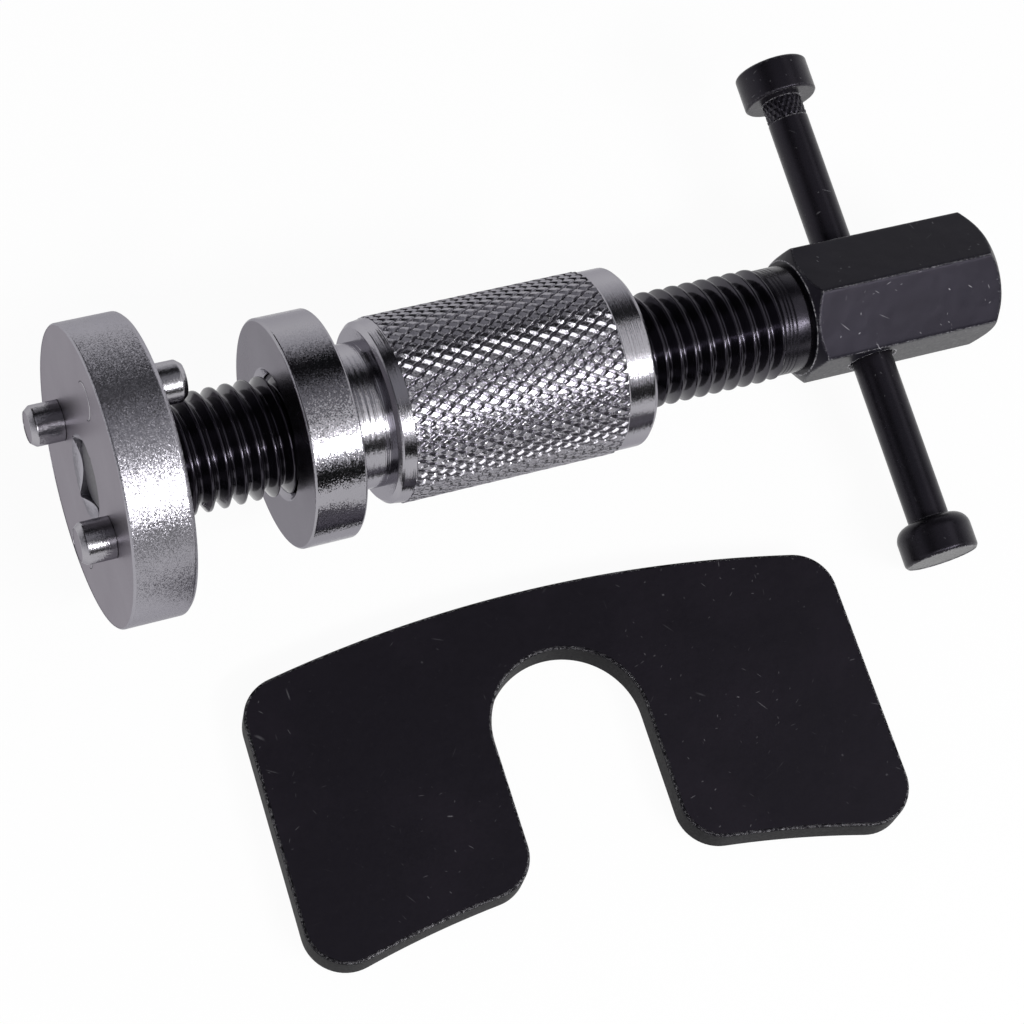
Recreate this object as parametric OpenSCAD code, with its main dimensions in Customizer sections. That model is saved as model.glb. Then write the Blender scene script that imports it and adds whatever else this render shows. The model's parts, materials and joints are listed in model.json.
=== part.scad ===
// Brake caliper piston tool: a screw spindle with a square drive that carries a two-sided pin adaptor,
// a knurled nut with a captive thrust flange, a sliding tommy bar and a loose reaction plate.
// The tool lies on a bench on its adaptor rim, its hex head and one bar head, beside the plate.

/* [Spindle] */
// Outside diameter of the screw thread
thread_d = 17.8; // [12:0.1:24]
// Lead of the screw thread for one turn
thread_pitch = 2.5; // [1:0.25:4]
// Length of the threaded part, from the drive shoulder
thread_l = 102; // [90:1:160]
// Diameter of the smooth relief behind the thread
relief_d = 15; // [10:0.1:17]
// Length of the relief between the thread and the hex head
relief_l = 2.6; // [1:0.1:8]
// Width of the hex head across its flats
hex_af = 19; // [17:0.5:30]
// Length of the hex head
hex_l = 33; // [20:0.5:50]
// Length of the turned chamfer at each end of the hex head
hex_chamfer = 1.5; // [0.5:0.1:3]
// Width of the square drive
drive_w = 9.5; // [8:0.1:12.7]
// Length of the square drive in front of its shoulder
drive_l = 8.4; // [6:0.1:20]
// Diameter to which the corners of the square drive are turned
drive_corner_d = 12.6; // [11:0.1:16]
// Turn of the square drive from the direction of the tommy bar
drive_turn = 6; // [0:1:45]
// Diameter of the ball that grips the adaptor
ball_d = 3; // [2:0.1:4]
// Travel of the gripping ball when it is pressed in
ball_travel = 0.4; // [0.2:0.1:0.8]
// Wire thickness of the spring behind the ball
spring_wire = 0.4; // [0.2:0.05:0.6]
// Length of the spring, at the length it has with the ball pressed in
spring_l = 2.6; // [1.5:0.1:4]
// Number of turns of the spring
spring_turns = 4; // [3:1:6]

/* [Adaptor] */
// Diameter of the adaptor disc
adaptor_d = 45; // [38:0.5:70]
// Thickness of the adaptor disc
adaptor_t = 9.6; // [8.5:0.1:16]
// Edge chamfer of the adaptor disc
adaptor_chamfer = 0.6; // [0.2:0.1:1.5]
// Diameter of the shallow countersink round the square hole
hole_mouth_d = 13.3; // [13:0.1:16]
// Diameter of a drive pin
pin_d = 6.2; // [3:0.1:8]
// Step on the radius between a pin's proud end and its thinner pressed shank
pin_step = 0.3; // [0.2:0.1:0.6]
// Height of a drive pin above the face of the disc
pin_proud = 5; // [3:0.1:8]
// Length of the chamfer at a pin's tip
pin_chamfer = 1.1; // [0.4:0.1:2]
// Bolt circle of the two front pins
front_pcd = 24.5; // [22:0.5:32]
// Bolt circle of the two rear pins
rear_pcd = 30.5; // [27:0.5:36]
// Turn of the front pins from a corner of the square hole
pin_turn = 22; // [0:1:45]

/* [Thrust flange] */
// Diameter of the thrust flange
flange_d = 34.6; // [30:0.1:50]
// Thickness of the thrust flange
flange_t = 8; // [6:0.1:14]
// Thickness of the flange's front web, in front of the nut's spigot
flange_web = 2.6; // [1.5:0.1:4]
// Edge chamfer of the thrust flange
flange_chamfer = 0.3; // [0.2:0.1:1.5]
// Place of the flange's front face along the thread
flange_at = 19.2; // [12:0.1:40]
// Wire thickness of the ring that holds the flange on the nut
ring_wire = 1.2; // [0.8:0.1:1.8]
// Open angle of the split ring
ring_gap = 24; // [10:1:40]

/* [Knurled nut] */
// Diameter of the neck that the reaction plate straddles
neck_d = 22; // [21.5:0.1:28]
// Width of the groove between flange and nut
groove_w = 6.3; // [5.2:0.1:12]
// Diameter of the nut's front face
nut_face_d = 27.6; // [26:0.1:40]
// Length of the cone from the front face to the knurl
cone_l = 2.6; // [1:0.1:6]
// Diameter over the knurl
knurl_d = 28.4; // [27:0.1:42]
// Length of the knurl
knurl_l = 34.3; // [20:0.1:40]
// Diameter of the smooth collar behind the knurl
collar_d = 27.9; // [26:0.1:40]
// Length of the smooth collar
collar_l = 4.8; // [3:0.1:10]
// Edge chamfer of the collar and the front face
nut_chamfer = 0.7; // [0.3:0.1:1.5]
// Depth of the countersink at each end of the nut's bore
bore_chamfer = 1; // [0.4:0.1:2]

/* [Tommy bar] */
// Diameter of the tommy bar
bar_d = 6.5; // [5:0.1:9]
// Distance of the bar's hole from the front of the hex head
bar_hole_at = 11.3; // [8:0.1:18]
// Reach of the bar from the spindle's axis to the end of its forged head
bar_reach_near = 43; // [32:0.5:80]
// Reach of the bar from the spindle's axis to the end of its cap
bar_reach_far = 41; // [28:0.5:80]
// Diameter of the forged head
head_d = 11.8; // [10:0.1:16]
// Length of the forged head
head_l = 6.4; // [5:0.1:10]
// Radius of the forged head's shoulder
head_round = 2.4; // [0.8:0.1:2.6]
// Chamfer at the forged head's end face
head_chamfer = 0.5; // [0.2:0.1:1.5]
// Diameter of the cap
cap_d = 11.8; // [10:0.1:16]
// Length of the cap
cap_l = 5.7; // [4:0.1:9]
// Thickness of the cap's closed end
cap_end = 1.2; // [0.8:0.1:2]
// Edge chamfer of the cap
cap_chamfer = 0.3; // [0.1:0.1:0.8]

/* [Reaction plate] */
// Width of the plate across its parallel sides
plate_w = 93.8; // [70:0.1:120]
// Thickness of the plate
plate_t = 5; // [3:0.1:5.5]
// Radius of the plate's outer edge
plate_outer_r = 202; // [130:1:260]
// Height of the plate between its two curved edges
plate_h = 43.9; // [38:0.1:60]
// Distance from the outer edge to the end of the slot
plate_web = 10.3; // [6:0.1:16]
// Radius of the plate's outer corners
plate_corner_r = 6.5; // [2:0.5:12]
// Radius of the slot's mouth
mouth_r = 6.5; // [2:0.1:10]
// Place of the plate's middle along the tool, from the drive shoulder
plate_x = 50; // [35:0.5:90]
// Distance of the plate's middle from the tool, on the near side
plate_y = 50.2; // [46:0.1:90]
// Turn of the plate on the bench
plate_turn = -2.7; // [-4:0.1:4]

/* [Clearances] */
// Running clearance round the thread, on the radius
thread_play = 0.05; // [0.02:0.01:0.1]
// Running clearance of the flange on the nut's spigot, on the radius
spigot_play = 0.05; // [0.02:0.01:0.1]
// End clearance between parts that turn against each other
end_play = 0.15; // [0.05:0.05:0.4]
// Clearance of the square hole on each side of the drive
drive_play = 0.1; // [0.05:0.05:0.3]
// Clearance of the bar in its hole, on the radius
bar_play = 0.3; // [0.1:0.05:0.6]
// Clearance of the gripping ball in its hole, on the radius
ball_play = 0.05; // [0.02:0.01:0.1]
// Clearance of the plate's slot on each side of the neck
slot_play = 0.9; // [0.3:0.1:1.5]

/* [Hidden] */

$fn = 96;
// How far a cutter runs past the face that it cuts
over = 1;

// Stations along the spindle, measured from the drive shoulder towards the hex head
hex_at = thread_l + relief_l;
hex_end = hex_at + hex_l;
bar_at = hex_at + bar_hole_at;
flange_back = flange_at + flange_t;
nut_front = flange_back + groove_w;
knurl_at = nut_front + cone_l;
knurl_end = knurl_at + knurl_l;
nut_end = knurl_end + collar_l;
spigot_at = flange_at + flange_web + end_play;
ring_at = (spigot_at + flange_back) / 2;
ball_at = -drive_l / 2;
hex_corner_r = hex_af / 2 / cos(30);
hex_face_r = hex_af / 2 - hex_chamfer / 4;
bore_d = thread_d + 2 * thread_play;
ball_hole_d = ball_d + 2 * ball_play;

// Depth from the drive's face to the bottom of the ball's hole
ball_hole_depth = ball_d + ball_travel + spring_l;

// Form of the rolled thread, in proportion to its pitch, and the place of its first whole ridge
thread_depth = 0.6 * thread_pitch;
thread_crest = 0.15 * thread_pitch;
thread_root = 0.15 * thread_pitch;
ridges = floor(thread_l / thread_pitch);
first_ridge = (thread_l - ridges * thread_pitch) / 2;

// Length of the chamfer that ends the knurl
knurl_land = (knurl_d - collar_d) / 2;

// How the tool lies: tilted so that the adaptor's rear rim and the hex head's last corner touch the bench
lean = atan((adaptor_d / 2 - hex_corner_r) / (hex_end - hex_chamfer + adaptor_chamfer));
shoulder_h = adaptor_d / 2 * cos(lean) - adaptor_chamfer * sin(lean);
bar_h = shoulder_h - bar_at * sin(lean);

// Roll of the spindle at which the forged head comes down to the bench
bar_roll = asin((bar_h - head_d / 2) / (bar_reach_near - head_chamfer));

// Diameter of the part of a pin that is pressed into the disc
shank_d = pin_d - 2 * pin_step;

// Directions of the lower pin of each pair in the adaptor's frame; the rear pair stands square to the front
front_turn = -pin_turn;
rear_turn = 90 - pin_turn;

// The plate's two arcs share one centre
plate_inner_r = plate_outer_r - plate_h;
plate_mid_r = plate_outer_r - plate_h / 2;
slot_w = neck_d + 2 * slot_play;
slot_end_r = plate_outer_r - plate_web - slot_w / 2;

// Middle of the whole arrangement, so that the origin lies under it on the bench
pin_tip_r = pin_d / 2 - pin_chamfer * 0.7;
front_pin_drop = front_pcd / 2 * abs(sin(bar_roll - drive_turn + front_turn)) + pin_tip_r;
x_low = -(adaptor_t + pin_proud) * cos(lean) - front_pin_drop * sin(lean);
x_high = hex_end * cos(lean) + hex_face_r * sin(lean);
y_high = bar_reach_far * cos(bar_roll) + cap_d / 2 * sin(bar_roll);
leg_corner = corner_on(plate_w / 2 - plate_corner_r, plate_inner_r + plate_corner_r);
y_low = -plate_y - abs(leg_corner.x * sin(plate_turn))
    + (leg_corner.y - plate_mid_r) * cos(plate_turn) - plate_corner_r;
middle = [(x_low + x_high) / 2, (y_low + y_high) / 2, 0];

// Centre of a corner round that touches a straight side and an arc about the plate's centre
function corner_on(x, r) = [x, sqrt(r * r - x * x)];

// Point at a given radius from the plate's centre, in the direction of p
function at_radius(p, r) = p * r / norm(p);

// Sets the origin under the middle of the arrangement
module bench() translate(-middle) children();

// Frame of the spindle's axis: z along it to the hex head, x upwards, y to the near side
module on_axis() bench() translate([0, 0, shoulder_h]) rotate([0, 90 + lean, 0]) rotate(180) children();

// Frame that is rolled with the spindle: x along the tommy bar to its forged head
module on_spindle() on_axis() rotate(90 + bar_roll) children();

// Frame of the adaptor: x through a corner of its square hole
module on_adaptor() on_spindle() rotate(-drive_turn) children();

// Solid of revolution from an outline of [radius, station] points
module turned(outline) rotate_extrude() polygon(outline);

// Ring of revolution that cuts a chamfer of 45 degrees at the end of a bore
module bore_countersink(bore, depth) {
    turned([[0, -over], [bore / 2 + depth + over, -over], [bore / 2, depth], [0, depth]]);
}

// Square prism about the axis, with a corner on x
module square_prism(w, l) rotate(45) translate([-w / 2, -w / 2, 0]) cube([w, w, l]);

// Hexagon bar with a turned chamfer at both ends
module hex_bar() {
    flare = hex_corner_r + over;
    rise = hex_chamfer * (flare - hex_face_r) / (hex_corner_r - hex_face_r);
    intersection() {
        rotate(30) cylinder(r = hex_corner_r, h = hex_l, $fn = 6);
        turned([
            [0, 0], [hex_face_r, 0], [flare, rise],
            [flare, hex_l - rise], [hex_face_r, hex_l], [0, hex_l]
        ]);
    }
}

// Outline of the thread, with its ridges as rings: up one flank, along the crest and down the other flank
function thread_outline() =
    let (crest_r = thread_d / 2, root_r = crest_r - thread_depth)
    let (flank = (thread_pitch - thread_crest - thread_root) / 2)
    concat(
        [[root_r, 0]],
        [for (i = [0 : ridges - 1])
            let (foot = first_ridge + i * thread_pitch + thread_root / 2, top = foot + flank)
            each [
                [root_r, foot], [crest_r, top],
                [crest_r, top + thread_crest], [root_r, top + thread_crest + flank]
            ]],
        [[root_r, thread_l]]
    );

// Spindle in one piece: square drive, screw thread, relief and drilled hex head
module spindle() {
    hole_d = bar_d + 2 * bar_play;
    color("#201e22") on_spindle() difference() {
        union() {
            rotate(-drive_turn) translate([0, 0, -drive_l]) {
                intersection() {
                    square_prism(drive_w, drive_l + over);
                    cylinder(d = drive_corner_d, h = drive_l + over);
                }
            }
            turned(concat([[0, 0]], thread_outline(), [
                [relief_d / 2, thread_l], [relief_d / 2, hex_at + over], [0, hex_at + over]
            ]));
            translate([0, 0, hex_at]) hex_bar();
        }
        translate([0, 0, bar_at]) rotate([0, 90, 0]) cylinder(d = hole_d, h = 2 * hex_af, center = true);
        rotate(45 - drive_turn) translate([drive_w / 2 - ball_hole_depth, 0, ball_at]) rotate([0, 90, 0]) {
            cylinder(d = ball_hole_d, h = ball_hole_depth + over);
        }
    }
}

// Frame of the ball's hole: z outwards from the middle of a drive face
module on_ball_hole() {
    on_adaptor() rotate(45) translate([drive_w / 2, 0, ball_at]) rotate([0, 90, 0]) children();
}

// Ball that stands out of the drive's face by half the play and grips the square hole
module detent_ball() {
    color("#b9bbc0") on_ball_hole() translate([0, 0, (drive_play - ball_d) / 2]) sphere(d = ball_d);
}

// Coil spring at the bottom of the ball's hole, swept round its helix
module detent_spring() {
    wire_sides = 8;
    rings = 18 * spring_turns;
    coil_r = ball_d / 2 - spring_wire;
    rise = spring_l - spring_wire;
    points = [for (i = [0 : rings], j = [0 : wire_sides - 1])
        let (t = 360 * spring_turns * i / rings, a = 360 * j / wire_sides)
        let (r = coil_r + spring_wire / 2 * cos(a))
        [r * cos(t), r * sin(t), spring_wire / 2 * (1 + sin(a)) + rise * i / rings]];
    sides = [for (i = [0 : rings - 1], j = [0 : wire_sides - 1])
        let (k = (j + 1) % wire_sides, a = i * wire_sides, b = a + wire_sides)
        [a + j, a + k, b + k, b + j]];
    first = [for (j = [wire_sides - 1 : -1 : 0]) j];
    last = [for (j = [0 : wire_sides - 1]) rings * wire_sides + j];
    color("#9a9da3") on_ball_hole() translate([0, 0, -ball_hole_depth]) {
        polyhedron(points, concat([first], sides, [last]));
    }
}

// Copies its children to one of the two places on a pin circle
module on_pin_circle(pcd, turn) on_adaptor() rotate(turn) translate([pcd / 2, 0, 0]) children();

// Bore for one pin, through the disc
module pin_bore() translate([0, 0, -adaptor_t - over]) cylinder(d = shank_d, h = adaptor_t + 2 * over);

// Cone of 120 degrees that opens the mouth of the square hole, pointing down from its face
module mouth_countersink() {
    r = hole_mouth_d / 2;
    turned([[0, -r / tan(60)], [r + over * tan(60), over], [0, over]]);
}

// Disc with a square hole, countersunk from both faces, and four pin bores
module adaptor_disc() {
    r = adaptor_d / 2;
    hole_w = drive_w + 2 * drive_play;
    color("#a9a7ab") difference() {
        on_axis() turned([
            [0, -adaptor_t], [r - adaptor_chamfer, -adaptor_t], [r, -adaptor_t + adaptor_chamfer],
            [r, -adaptor_chamfer], [r - adaptor_chamfer, 0], [0, 0]
        ]);
        on_adaptor() translate([0, 0, -adaptor_t - over]) {
            square_prism(hole_w, adaptor_t + 2 * over);
        }
        on_axis() mouth_countersink();
        on_axis() translate([0, 0, -adaptor_t]) mirror([0, 0, 1]) mouth_countersink();
        for (half = [0, 180]) {
            on_pin_circle(front_pcd, front_turn + half) pin_bore();
            on_pin_circle(rear_pcd, rear_turn + half) pin_bore();
        }
    }
}

// Stepped pin pressed through the disc, flush with one face and proud of the other
module drive_pin() {
    r = pin_d / 2;
    shank_r = shank_d / 2;
    l = adaptor_t + pin_proud;
    turned([
        [0, 0], [shank_r, 0], [shank_r, adaptor_t], [r, adaptor_t],
        [r, l - pin_chamfer], [pin_tip_r, l], [0, l]
    ]);
}

// Pins that stand out of the front face
module front_pin(half) {
    color("#b4b2b6") on_pin_circle(front_pcd, front_turn + half) rotate([180, 0, 0]) drive_pin();
}
module front_pin_upper() front_pin(180);
module front_pin_lower() front_pin(0);

// Pins that stand out of the rear face
module rear_pin(half) {
    color("#b4b2b6") on_pin_circle(rear_pcd, rear_turn + half) translate([0, 0, -adaptor_t]) drive_pin();
}
module rear_pin_upper() rear_pin(180);
module rear_pin_lower() rear_pin(0);

// Flange that runs on the nut's spigot behind a closed web
module thrust_flange() {
    r = flange_d / 2;
    c = flange_chamfer;
    socket_r = neck_d / 2 + spigot_play;
    web_back = flange_at + flange_web;
    groove_half = ring_wire / 2;
    groove_r = neck_d / 2 + ring_wire / 2;
    color("#c6c5c9") on_axis() difference() {
        turned([
            [0, flange_at], [r - c, flange_at], [r, flange_at + c],
            [r, flange_back - c], [r - c, flange_back], [0, flange_back]
        ]);
        translate([0, 0, flange_at - over]) cylinder(d = bore_d, h = flange_t + 2 * over);
        translate([0, 0, flange_at]) bore_countersink(bore_d, bore_chamfer);
        translate([0, 0, web_back]) cylinder(r = socket_r, h = flange_t);
        translate([0, 0, ring_at - groove_half]) cylinder(r = groove_r, h = ring_wire);
    }
}

// Split wire ring, half in the flange and half in the spigot
module retaining_ring() {
    color("#8c8c91") on_axis() translate([0, 0, ring_at]) rotate_extrude(angle = 360 - ring_gap) {
        translate([neck_d / 2, 0]) circle(d = ring_wire);
    }
}

// Nut with spigot, neck, knurled barrel and collar
module knurled_nut() {
    c = nut_chamfer;
    spigot_r = neck_d / 2;
    ring_seat_r = spigot_r - ring_wire / 2 - end_play;
    ring_half = ring_wire / 2 + end_play;
    color("#b7b5b9") on_axis() difference() {
        turned([
            [0, spigot_at], [spigot_r, spigot_at],
            [spigot_r, ring_at - ring_half], [ring_seat_r, ring_at - ring_half],
            [ring_seat_r, ring_at + ring_half], [spigot_r, ring_at + ring_half],
            [spigot_r, nut_front], [nut_face_d / 2 - c, nut_front], [nut_face_d / 2, nut_front + c],
            [knurl_d / 2, knurl_at], [knurl_d / 2, knurl_end - knurl_land],
            [collar_d / 2, knurl_end], [collar_d / 2, nut_end - c],
            [collar_d / 2 - c, nut_end], [0, nut_end]
        ]);
        translate([0, 0, spigot_at - over]) cylinder(d = bore_d, h = nut_end - spigot_at + 2 * over);
        translate([0, 0, nut_end]) mirror([0, 0, 1]) bore_countersink(bore_d, bore_chamfer);
    }
}

// Frame of the tommy bar: z along it, from the spindle's axis to the forged head
module on_bar() on_spindle() translate([0, 0, bar_at]) rotate([0, 90, 0]) children();

// Round bar with a forged head at one end; the other end is pressed into the cap
module tommy_bar() {
    r = bar_d / 2;
    head_r = head_d / 2;
    head_at = bar_reach_near - head_l;
    bar_end = cap_end - bar_reach_far;
    head_end = bar_reach_near;
    shoulder = [for (a = [0 : 15 : 90]) [
        head_r - head_round + head_round * sin(a),
        head_at + head_round - head_round * cos(a)
    ]];
    color("#222024") on_bar() turned(concat(
        [[0, bar_end], [r, bar_end], [r, head_at]],
        shoulder,
        [[head_r, head_end - head_chamfer], [head_r - head_chamfer, head_end], [0, head_end]]
    ));
}

// Cap with a blind bore, pressed on the end of the bar
module bar_cap() {
    r = cap_d / 2;
    c = cap_chamfer;
    color("#1c1a1d") on_bar() translate([0, 0, -bar_reach_far]) difference() {
        turned([[0, 0], [r - c, 0], [r, c], [r, cap_l - c], [r - c, cap_l], [0, cap_l]]);
        translate([0, 0, cap_end]) cylinder(d = bar_d, h = cap_l);
    }
}

// Cuts one sharp corner of the plate back to the tangent points of its round
module corner_trim(centre, side_x, arc_r, tip_y) {
    translate([0, 0, -over]) linear_extrude(plate_t + 2 * over) {
        polygon([centre, [side_x, centre.y], [side_x, tip_y], at_radius(centre, arc_r)]);
    }
}

// Round that takes the place of a trimmed corner
module corner_round(centre, r) translate(centre) cylinder(r = r, h = plate_t);

// Plate with sharp corners, about the common centre of its two arcs
module plate_blank() {
    difference() {
        cylinder(r = plate_outer_r, h = plate_t, $fn = 360);
        translate([0, 0, -over]) cylinder(r = plate_inner_r, h = plate_t + 2 * over, $fn = 360);
        for (side = [0, 1]) mirror([side, 0, 0]) translate([plate_w / 2, -2 * plate_outer_r, -over]) {
            cube([plate_outer_r, 4 * plate_outer_r, plate_t + 2 * over]);
        }
        translate([-plate_w, -2 * plate_outer_r, -over]) {
            cube([2 * plate_w, 2 * plate_outer_r, plate_t + 2 * over]);
        }
        translate([0, slot_end_r, -over]) cylinder(d = slot_w, h = plate_t + 2 * over);
        translate([-slot_w / 2, 0, -over]) cube([slot_w, slot_end_r, plate_t + 2 * over]);
    }
}

// Frame of the plate on the bench: origin at the common centre of its arcs, y to the tool
module on_plate() {
    bench() translate([plate_x, -plate_y, 0]) rotate(plate_turn) translate([0, -plate_mid_r, 0]) children();
}

// Flat plate between two arcs, with parallel sides and a slot that straddles the nut's neck
module reaction_plate() {
    side_x = plate_w / 2;
    slot_x = slot_w / 2;
    r = plate_corner_r;
    top_corner = corner_on(side_x - r, plate_outer_r - r);
    mouth_corner = corner_on(slot_x + mouth_r, plate_inner_r + mouth_r);
    top_tip = at_radius(top_corner, plate_outer_r).y;
    leg_tip = corner_on(side_x, plate_inner_r).y - over;
    mouth_tip = corner_on(slot_x, plate_inner_r).y - over;
    color("#1b191d") on_plate() {
        difference() {
            plate_blank();
            for (side = [0, 1]) mirror([side, 0, 0]) {
                corner_trim(top_corner, side_x + over, plate_outer_r, top_tip);
                corner_trim(leg_corner, side_x + over, plate_inner_r, leg_tip);
                corner_trim(mouth_corner, slot_x - over, plate_inner_r, mouth_tip);
            }
        }
        for (side = [0, 1]) mirror([side, 0, 0]) {
            corner_round(top_corner, r);
            corner_round(leg_corner, r);
            corner_round(mouth_corner, mouth_r);
        }
    }
}

spindle();
detent_ball();
detent_spring();
adaptor_disc();
front_pin_upper();
front_pin_lower();
rear_pin_upper();
rear_pin_lower();
thrust_flange();
retaining_ring();
knurled_nut();
tommy_bar();
bar_cap();
reaction_plate();
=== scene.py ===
import json
import math
import random

import bmesh
import bpy
from mathutils import Matrix, Vector


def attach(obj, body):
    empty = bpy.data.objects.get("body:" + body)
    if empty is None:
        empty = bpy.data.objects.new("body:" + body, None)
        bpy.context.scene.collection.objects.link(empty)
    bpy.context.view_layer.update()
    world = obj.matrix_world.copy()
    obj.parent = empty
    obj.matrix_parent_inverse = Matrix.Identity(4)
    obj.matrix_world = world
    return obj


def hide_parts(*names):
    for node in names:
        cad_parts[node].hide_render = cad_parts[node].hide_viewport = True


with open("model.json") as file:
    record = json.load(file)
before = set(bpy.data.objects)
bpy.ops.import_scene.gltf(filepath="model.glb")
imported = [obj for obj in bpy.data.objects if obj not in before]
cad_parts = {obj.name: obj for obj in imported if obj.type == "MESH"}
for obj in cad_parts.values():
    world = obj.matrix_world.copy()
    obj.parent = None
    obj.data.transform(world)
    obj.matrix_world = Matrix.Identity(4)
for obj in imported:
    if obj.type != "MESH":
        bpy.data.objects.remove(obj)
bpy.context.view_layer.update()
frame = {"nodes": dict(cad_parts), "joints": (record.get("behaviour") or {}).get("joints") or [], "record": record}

# Brake caliper piston tool: screw spindle with hex head, pin adaptor, thrust flange, knurled nut,
# tommy bar and loose reaction plate. Sizes are in millimetres, in the frames of the pieces.
MM = 0.001

# Spindle, along its axis from the drive shoulder to the hex head
THREAD_D = 17.8
THREAD_PITCH = 2.5
THREAD_DEPTH = 1.5
THREAD_END = 99.6
LEAD_IN_R = 6.9
LEAD_IN_SLOPE = 0.7
RELIEF_D = 16.9
ROLL_MARKS = (0.6, 1.2, 1.9)
ROLL_MARK_DEPTH = 0.13
UNDERCUT = 0.6
HEX_AT = 104.6
HEX_END = 137.6
HEX_AF = 19
HEX_CHAMFER = 1.5
HEX_CORNER_BREAK = 0.09
DRIVE_W = 9.5
DRIVE_L = 8.4
DRIVE_CORNER_D = 12.6
DRIVE_CHAMFER = 0.8
DRIVE_TURN = 6
BALL_HOLE_D = 3.1
BALL_HOLE_DEPTH = 6

# Pin adaptor
ADAPTOR_D = 45
ADAPTOR_T = 9.6
ADAPTOR_CHAMFER = 0.6
SQUARE_HOLE_W = 9.7
HOLE_MOUTH_D = 13.3
HOLE_MOUTH_ANGLE = 60
PIN_D = 6.2
PIN_SHANK_D = 5.6
PIN_PROUD = 5
PIN_CHAMFER = 0.9
PIN_BORE_PLAY = 0.02
PIN_BORE_MOUTH = 0.1
PIN_BORE_MOUTH_L = 0.4
FRONT_PIN_CIRCLE_D = 24.5
REAR_PIN_CIRCLE_D = 30.5
PIN_TURN = 22

# Thrust flange and knurled nut
FLANGE_D = 34.6
FLANGE_AT = 19.2
FLANGE_BACK = 27.2
FLANGE_SOCKET_AT = 21.8
FLANGE_SOCKET_D = 22.1
BORE_D = 17.9
BORE_CHAMFER = 1
NECK_D = 22
SPIGOT_AT = 21.95
NUT_FRONT = 33.5
NUT_FACE_D = 27.6
NUT_CHAMFER = 0.7
KNURL_AT = 36.1
KNURL_END = 70.4
KNURL_D = 28.4
KNURL_DEPTH = 0.42
KNURL_WALLS = ((0.27, 0.14), (0.17, 0.36))
KNURL_STARTS = 48
KNURL_DIAMOND_L = 3.09
KNURL_CORE_DEPTH = 0.5
COLLAR_D = 27.9
NUT_END = 75.2

# Tommy bar, along its axis from the spindle's axis to the forged head
BAR_AT = 115.9
BAR_D = 6.5
BAR_HOLE_D = 7.1
BAR_HOLE_CHAMFER = 0.4
BAR_REACH_NEAR = 43
BAR_REACH_FAR = 41
HEAD_D = 11.8
HEAD_L = 6.4
HEAD_ROUND = 2.4
CAP_D = 11.8
CAP_L = 5.7
CAP_END = 1.2
GRIP_L = 3.5
GRIP_DEPTH = 0.26
GRIP_WALLS = ((0.4, 0.4), (0.4, 0.4))
GRIP_STARTS = 20
GRIP_DIAMOND_L = 1.5
GRIP_SEAT_DEPTH = 0.3

# Reaction plate, about the common centre of its two arcs
PLATE_T = 5
PLATE_HALF_W = 46.9
PLATE_OUTER_R = 202
PLATE_INNER_R = 158.1
PLATE_CORNER_R = 6.5
MOUTH_R = 6.5
SLOT_HALF_W = 11.9
SLOT_END_R = 179.8
PLATE_TURN = -2.7

# Broken edge of the plated discs and the bar's cap
EDGE_BREAK = 0.3

# Kept back from the CAD box, so that no rounding of a number stands out of it
HAIR = 0.01

# How far a cutter reaches past the face that it opens
CUT_OVER = 1

# How finely round pieces are divided
SIDES = 256
SMALL_SIDES = 96

joints = {joint["name"]: joint for joint in frame["joints"]}
mounts = {mount["name"]: mount for mount in frame["record"]["mounts"]}


def place(origin, z_axis, x_axis):
    """Frame in millimetres with its z along one direction and its x as near as can be to another."""
    z = Vector(z_axis).normalized()
    x = Vector(x_axis)
    x = (x - x.dot(z) * z).normalized()
    turn = Matrix((x, z.cross(x), z)).transposed().to_4x4()
    return Matrix.Translation(origin) @ turn @ Matrix.Scale(MM, 4)


def turned_by(degrees):
    return Matrix.Rotation(math.radians(degrees), 4, "Z")


# Frames of the pieces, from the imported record
axis_dir = Vector(joints["nut_travel"]["axis"])
bar_dir = Vector(joints["bar_slide"]["axis"])
shoulder = Vector(mounts["front_pins"]["pos_m"]) + axis_dir * ADAPTOR_T * MM
on_axis = place(shoulder, axis_dir, (0, 0, 1))
on_spindle = place(shoulder, axis_dir, bar_dir)
on_adaptor = on_spindle @ turned_by(-DRIVE_TURN)
on_bar = place(on_spindle @ Vector((0, 0, BAR_AT)), bar_dir, axis_dir)
plate_turn = turned_by(PLATE_TURN)
slot_end = Vector(mounts["plate_slot"]["pos_m"]) * Vector((1, 1, 0))
plate_centre = slot_end - plate_turn @ Vector((0, SLOT_END_R * MM, 0))
on_plate = place(plate_centre, (0, 0, 1), plate_turn @ Vector((1, 0, 0)))


# Shapes

def eased(outline, steps=4):
    """Outline of (radius, station, ease) corners, each corner rounded by about its ease."""
    points = []
    for k, (r, s, ease) in enumerate(outline):
        here = Vector((r, s))
        before = Vector(outline[k - 1][:2]) - here
        after = Vector(outline[(k + 1) % len(outline)][:2]) - here
        if ease == 0:
            points.append(here)
            continue
        set_back = min(ease, 0.45 * before.length, 0.45 * after.length)
        start = here + before.normalized() * set_back
        end = here + after.normalized() * set_back
        for i in range(steps + 1):
            t = i / steps
            points.append((1 - t) ** 2 * start + 2 * t * (1 - t) * here + t * t * end)
    return points


def stitched(rings, looped=False):
    """Quads between rings of equal length; open ends are closed with flat caps."""
    faces = []
    sides = len(rings[0])
    following = rings[1:] + rings[:1] if looped else rings[1:]
    for lower, upper in zip(rings, following):
        for i in range(sides):
            j = (i + 1) % sides
            faces.append((lower[i], lower[j], upper[j], upper[i]))
    if not looped:
        faces.append(tuple(reversed(rings[0])))
        faces.append(tuple(rings[-1]))
    return faces


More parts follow.
